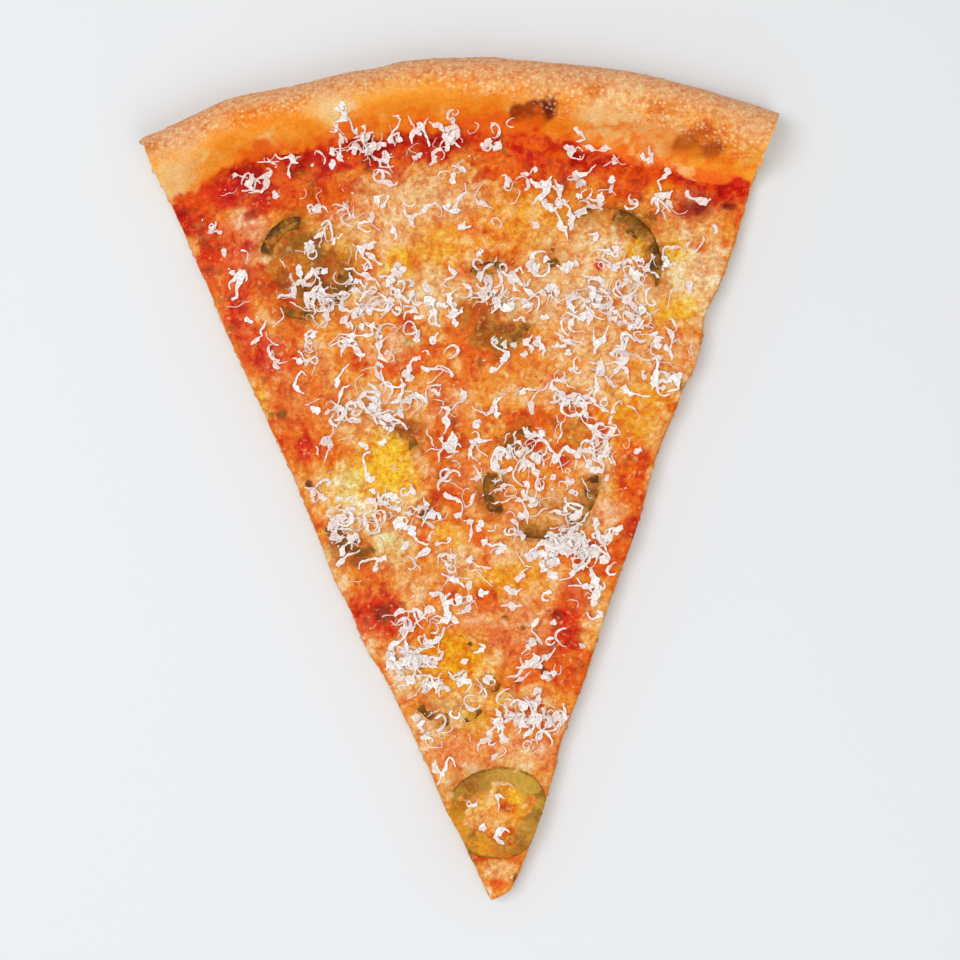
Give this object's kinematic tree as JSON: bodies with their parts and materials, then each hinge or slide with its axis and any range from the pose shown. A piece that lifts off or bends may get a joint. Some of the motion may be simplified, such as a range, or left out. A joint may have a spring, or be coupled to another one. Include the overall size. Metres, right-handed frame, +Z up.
{
  "type": "pizza slice",
  "caption": "Wedge of a large thin-crust cheese pizza with a raised rim, tomato sauce, melted cheese and green pepper rings.",
  "frame": {"origin": "on the surface it lies on, under the middle of the wedge's bounding box", "axes": "+Z up from the underside; +Y from the tip to the middle of the rim; +X to the right seen from above with the tip towards the viewer"},
  "size_m": [0.1798, 0.2359, 0.0173],
  "materials": {
    "baked_dough": "dry baked crust, golden brown",
    "tomato_sauce": "moist sauce, deep red",
    "melted_cheese": "oily melted cheese, orange to cream",
    "green_pepper": "moist cooked pepper, olive green",
    "grated_hard_cheese": "dry pale shreds"
  },
  "bodies": {
    "root": {"crust": "baked_dough", "sauce": "tomato_sauce", "cheese": "melted_cheese", "pepper_ring_upper_left": "green_pepper", "pepper_ring_upper_right": "green_pepper", "pepper_ring_upper_middle": "green_pepper", "pepper_ring_middle_right": "green_pepper", "pepper_ring_middle_left": "green_pepper", "pepper_ring_lower_left": "green_pepper", "pepper_ring_tip": "green_pepper"}
  },
  "joints": []
}
